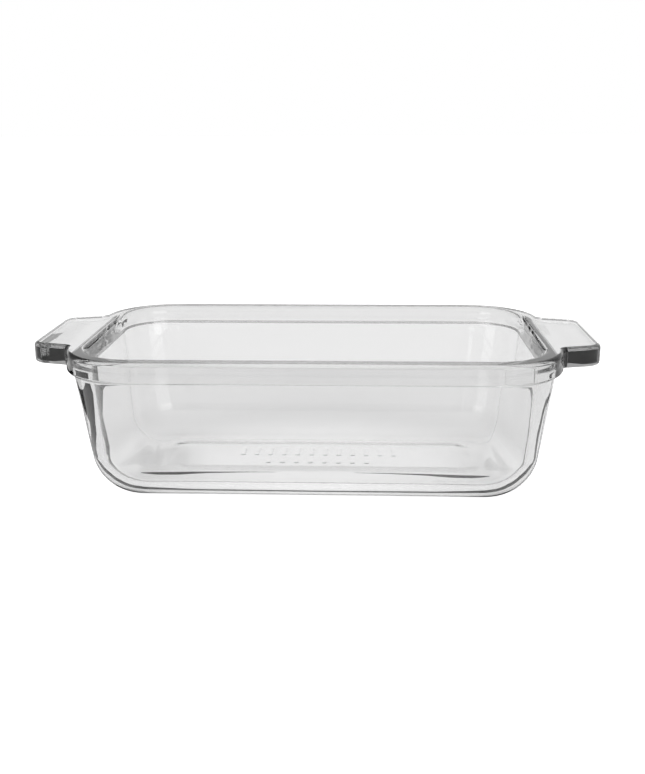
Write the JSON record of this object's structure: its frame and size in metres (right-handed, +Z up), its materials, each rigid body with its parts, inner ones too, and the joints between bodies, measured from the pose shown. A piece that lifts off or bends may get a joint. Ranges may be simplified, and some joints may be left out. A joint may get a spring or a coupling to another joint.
{
  "type": "glass loaf dish",
  "caption": "One-piece clear pressed-glass loaf dish: deep rounded rectangular tub with drafted walls, thick overhanging rim and a flat slab handle at each end.",
  "frame": {"origin": "on the surface the dish stands on, under the centre of the dish", "axes": "+X along the length towards one handle, +Y across the width, +Z up out of the open mouth"},
  "size_m": [0.2804, 0.142, 0.0742],
  "materials": {
    "clear_glass": "clear fire-polished pressed glass, colourless, smooth with faint mould waviness"
  },
  "bodies": {
    "root": {"loaf_dish": "clear_glass"}
  },
  "joints": []
}
